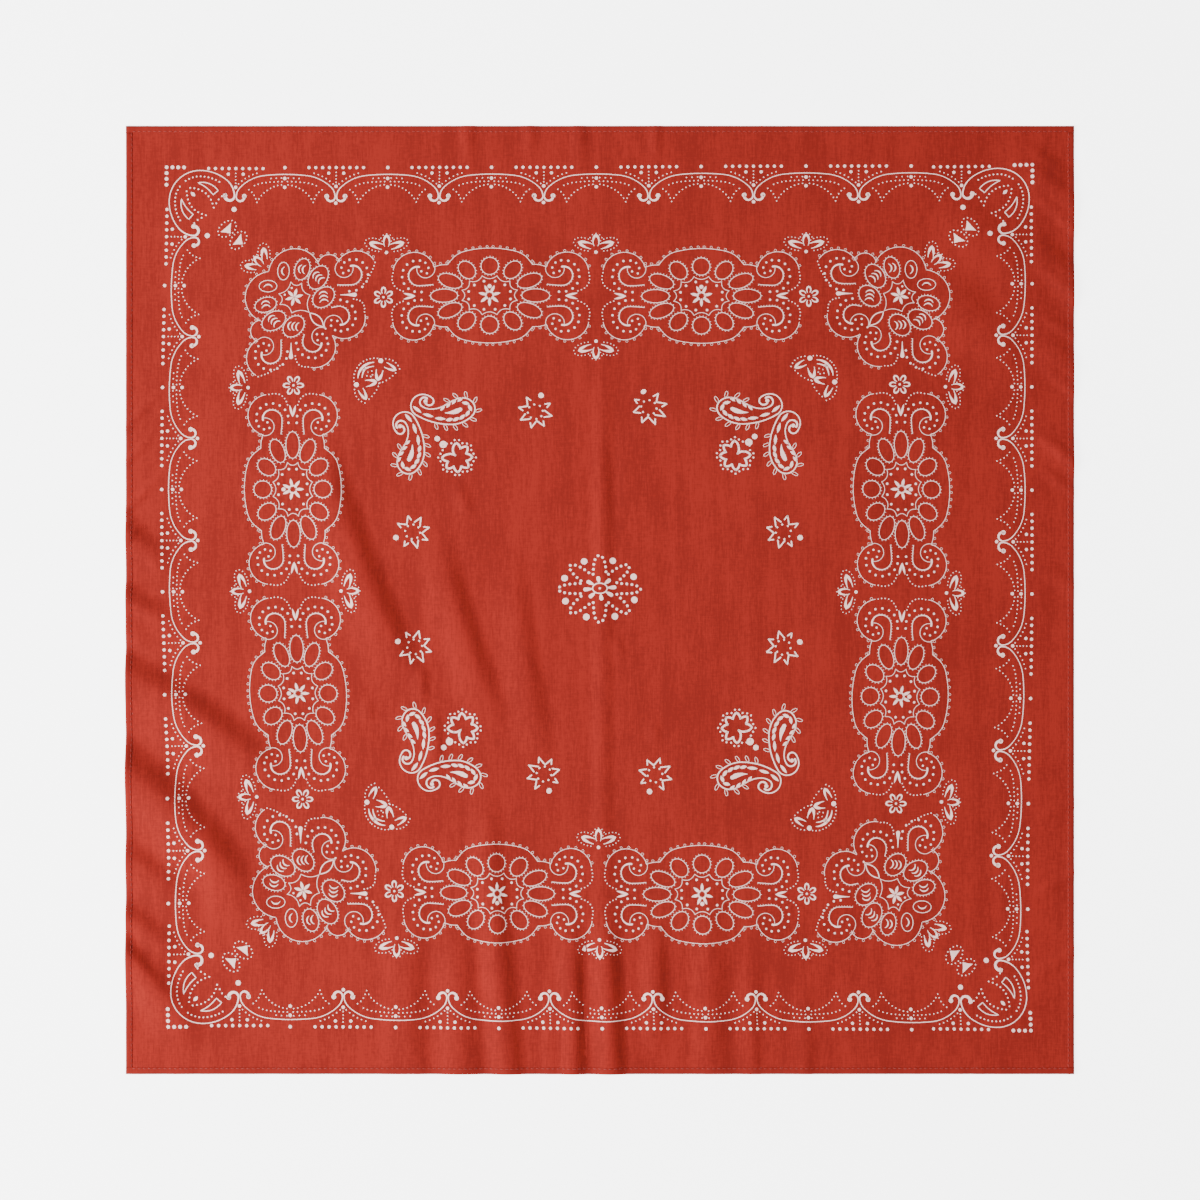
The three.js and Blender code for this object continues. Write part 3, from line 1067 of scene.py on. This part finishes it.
def facet_height(x, y):
    """The face's height on its own facets, each cell being two triangles."""
    spacing = LINES[1] - LINES[0]
    steps_x, steps_y = (x - LINES[0]) / spacing, (y - LINES[0]) / spacing
    c, r = steps_x.astype(int), steps_y.astype(int)
    right, up = steps_x - c, steps_y - r
    here, beside = FACE_HEIGHTS[r, c], FACE_HEIGHTS[r, c + 1]
    above, across = FACE_HEIGHTS[r + 1, c], FACE_HEIGHTS[r + 1, c + 1]
    lower = here + right * (beside - here) + up * (across - beside)
    upper = here + up * (above - here) + right * (across - above)
    return np.where(right > up, lower, upper)


def printed_piece(name, marks):
    """One piece of the print: its marks in one mesh, laid on the face's facets."""
    points = drifted(np.vstack([mark_points for mark_points, _ in marks]))
    faces, start = [], 0
    for mark_points, mark_faces in marks:
        faces += [tuple(start + corner for corner in face) for face in mark_faces]
        start += len(mark_points)
    x, y = points[:, 0], points[:, 1]
    placed = np.stack([x, y, facet_height(x, y) + PRINT_LIFT], axis=1)
    return add_piece(name, placed, faces, face_normals(x, y), face_uv(x, y))


# The finishes

class Socket:
    """A node's output. Arithmetic on it adds Math nodes."""

    def __init__(self, finish, output):
        self.finish = finish
        self.output = output

    def maths(self, operation, *values):
        return self.finish.node("ShaderNodeMath", {"operation": operation}, dict(enumerate(values)))

    def __add__(self, other):
        return self.maths("ADD", self, other)

    def __sub__(self, other):
        return self.maths("SUBTRACT", self, other)

    def __rsub__(self, other):
        return self.maths("SUBTRACT", other, self)

    def __mul__(self, other):
        return self.maths("MULTIPLY", self, other)

    __radd__ = __add__
    __rmul__ = __mul__


class Finish:
    """A material and its nodes, round one Principled shader with constant values of its own."""

    def __init__(self, name, **constants):
        self.material = bpy.data.materials.new(name)
        self.material.use_nodes = True
        self.nodes = self.material.node_tree.nodes
        self.links = self.material.node_tree.links
        self.shader = self.nodes["Principled BSDF"]
        for socket, value in constants.items():
            self.shader.inputs[socket.replace("_", " ")].default_value = value

    def node(self, kind, settings, inputs, output=0):
        """Adds a node: its settings first, then the values or links of its sockets."""
        made = self.nodes.new(kind)
        for name, value in settings.items():
            setattr(made, name, value)
        for key, value in inputs.items():
            if isinstance(value, Socket):
                self.links.new(value.output, made.inputs[key])
            else:
                made.inputs[key].default_value = value
        return Socket(self, made.outputs[output])

    def feed(self, socket, value):
        self.links.new(value.output, self.shader.inputs[socket])

    def raise_threads(self, strength, distance, height):
        """A fine bump on the surface, so many millimetres deep at most."""
        self.feed("Normal", self.node("ShaderNodeBump", {}, {
            "Strength": strength, "Distance": distance * MM, "Height": height}, "Normal"))

    def grain(self, across, along, detail=2.0):
        """Uneven noise on the cloth with grains of the given size in millimetres, from 0 to 1."""
        place = self.node("ShaderNodeTexCoord", {}, {}, "Object")
        scaled = self.node("ShaderNodeVectorMath", {"operation": "MULTIPLY"},
                           {0: place, 1: (1 / (across * MM), 1 / (along * MM), 0)})
        return self.node("ShaderNodeTexNoise", {"noise_dimensions": "2D"},
                         {"Vector": scaled, "Scale": 1.0, "Detail": detail, "Roughness": 0.55})


MIX_SHARE, MIX_FIRST, MIX_SECOND, MIX_COLOUR = 0, 6, 7, 2      # a Mix node's sockets where it mixes colours


def mixed(finish, share, dark, light):
    """A colour between two others, by a share from 0 to 1."""
    return finish.node("ShaderNodeMix", {"data_type": "RGBA"},
                       {MIX_SHARE: share, MIX_FIRST: (*dark, 1), MIX_SECOND: (*light, 1)},
                       output=MIX_COLOUR)


CLOTH_RED = np.array([0.216, 0.0138, 0.0092])
HEM_RED = np.array([0.206, 0.0133, 0.0089])
# The thread's red is a little lighter than the cloth's: painted light that offsets the shade round the
# stitches.
THREAD_RED_PAINTED_LIGHTER = np.array([0.230, 0.0148, 0.0097])
PRINT_WHITE = np.array([0.97, 0.62, 0.56])
RED_SHEEN = (0.9, 0.25, 0.18, 1)


def weave(finish):
    """Uneven threads both ways: warp down the cloth, weft across it, and a thicker slub here and there."""
    warp = finish.grain(0.7, 8)
    weft = finish.grain(7, 0.7)
    slub = finish.grain(1.5, 15)
    return warp, weft, slub


def thread_height(warp, weft, slub):
    """How high the threads stand together."""
    return warp + weft * 0.8 + slub * 0.7


def cotton(name, colour, contrast):
    """The cloth: its threads, faint bands down it and mottles make the red uneven."""
    finish = Finish(name, Sheen_Weight=0.035, Sheen_Roughness=0.5, Sheen_Tint=RED_SHEEN,
                    Specular_IOR_Level=0.08)
    warp, weft, slub = weave(finish)
    band = finish.grain(8, 110, detail=1.0)
    mottle = finish.grain(30, 46)
    speckle = finish.grain(1.6, 2.4)
    depth = 0.5 + contrast * ((warp - 0.5) * 0.9 + (weft - 0.5) * 0.8 + (slub - 0.5) * 0.8
                              + (speckle - 0.5) * 0.8 + (band - 0.5) * 0.7 + (mottle - 0.5) * 0.8)
    finish.feed("Base Color", mixed(finish, depth, colour * 0.84, colour * 1.16))
    finish.feed("Roughness", 0.84 + (weft - 0.5) * 0.12)
    finish.raise_threads(0.35, 0.12, thread_height(warp, weft, slub))
    return finish.material


def printed(name, colour, ground):
    """The print: a thin matt coat, with the threads under it and a little of the red between them."""
    finish = Finish(name, Specular_IOR_Level=0.25)
    warp, weft, slub = weave(finish)
    gaps = 0.05 + (0.5 - warp) * 0.25 + (0.5 - weft) * 0.2
    finish.feed("Base Color", mixed(finish, gaps, colour, ground))
    finish.feed("Roughness", 0.78 + (weft - 0.5) * 0.1)
    finish.raise_threads(0.3, 0.1, thread_height(warp, weft, slub))
    return finish.material


def plied(name, colour):
    """Sewing thread: fine twist across its length."""
    finish = Finish(name, Sheen_Weight=0.1, Specular_IOR_Level=0.35)
    twist = finish.grain(0.25, 0.25)
    finish.feed("Base Color", mixed(finish, twist, colour * 0.85, colour * 1.15))
    finish.feed("Roughness", 0.62 + twist * 0.15)
    finish.raise_threads(0.4, 0.05, twist)
    return finish.material


def dress(piece, material, slot, *nodes):
    """Gives a piece its material, makes it part of the object and hides what it stands for. The slot is not
    used.
    """
    piece.data.materials.append(material)
    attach(piece, "root")
    if nodes:
        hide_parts(*nodes)


# The bandana's pieces

cloth_finish = cotton("brick_red_cotton", CLOTH_RED, contrast=1.5)
hem_finish = cotton("turned_cotton_edge", HEM_RED, contrast=0.8)
thread_finish = plied("red_sewing_thread", THREAD_RED_PAINTED_LIGHTER)
print_finish = printed("warm_white_print", PRINT_WHITE, CLOTH_RED)

cloth = cloth_panel()
dress(cloth, cloth_finish, "cloth", "cloth_panel")
edges = []
for edge_name, (edge_places, edge_place_at) in HEM_PLACES.items():
    turned = hem(edge_name + "_turned", edge_places, edge_place_at)
    dress(turned, hem_finish, "hem", edge_name)
    sewn = stitching(edge_name.replace("hem", "stitches"), edge_place_at)
    dress(sewn, thread_finish, "thread")
    edges += [turned, sewn]
PRINTED = {
    "print_border": border,
    "print_long_medallions": lambda: all_round(both_sides(moved(oval_medallion(), *OVAL_AT))),
    "print_corner_medallions": lambda: all_round(corner_medallion()),
    "print_small_flowers": lambda: all_round(small_flowers()),
    "print_field": field,
}
for print_name, draw in PRINTED.items():
    dress(printed_piece(print_name, draw()), print_finish, "print")


# Floor, light and camera, in metres and watts

FLOOR_HALF = 6.0
FLOOR_WHITE = 0.92
FLOOR_GLOW = 4.0               # the photo's backdrop is pure white
ROOM_LIGHT = 0.72
WINDOW_AT = (-1.9, -0.45, 1.2)
WINDOW_SIZE = 1.3
WINDOW_POWER = 166


def floor():
    mesh = bpy.data.meshes.new("floor")
    corners = [(x * FLOOR_HALF, y * FLOOR_HALF, 0) for x, y in ((-1, -1), (1, -1), (1, 1), (-1, 1))]
    mesh.from_pydata(corners, [], [(0, 1, 2, 3)])
    finish = Finish("pale_floor", Specular_IOR_Level=0.1, Roughness=0.9,
                    Emission_Color=(1, 1, 1, 1), Emission_Strength=FLOOR_GLOW)
    white = np.full(3, FLOOR_WHITE)
    finish.feed("Base Color", mixed(finish, finish.grain(180, 180), 0.99 * white, white))
    mesh.materials.append(finish.material)
    new_object("floor", mesh)


def window_light(name, place, size, power):
    """A soft square light that faces the cloth's middle."""
    lamp = bpy.data.lights.new(name, "AREA")
    lamp.shape = "SQUARE"
    lamp.size = size
    lamp.energy = power
    holder = new_object(name, lamp)
    holder.location = place
    holder.rotation_euler = (-holder.location).to_track_quat("-Z", "Y").to_euler()


def room_light(strength):
    world = bpy.data.worlds.new("soft_room")
    bpy.context.scene.world = world
    world.use_nodes = True
    backdrop = world.node_tree.nodes["Background"]
    backdrop.inputs["Color"].default_value = (1, 1, 1, 1)
    backdrop.inputs["Strength"].default_value = strength


def overhead_camera():
    seen_width = 2 * HALF_SIDE * MM * PHOTO_WIDTH / PHOTO_CLOTH_WIDTH
    lens = bpy.data.cameras.new("camera")
    lens.lens = LENS
    lens.sensor_width = SENSOR
    holder = new_object("camera", lens)
    holder.location = (0, 0, seen_width * LENS / SENSOR)
    bpy.context.scene.camera = holder


floor()
room_light(ROOM_LIGHT)
window_light("window", WINDOW_AT, WINDOW_SIZE, WINDOW_POWER)
overhead_camera()
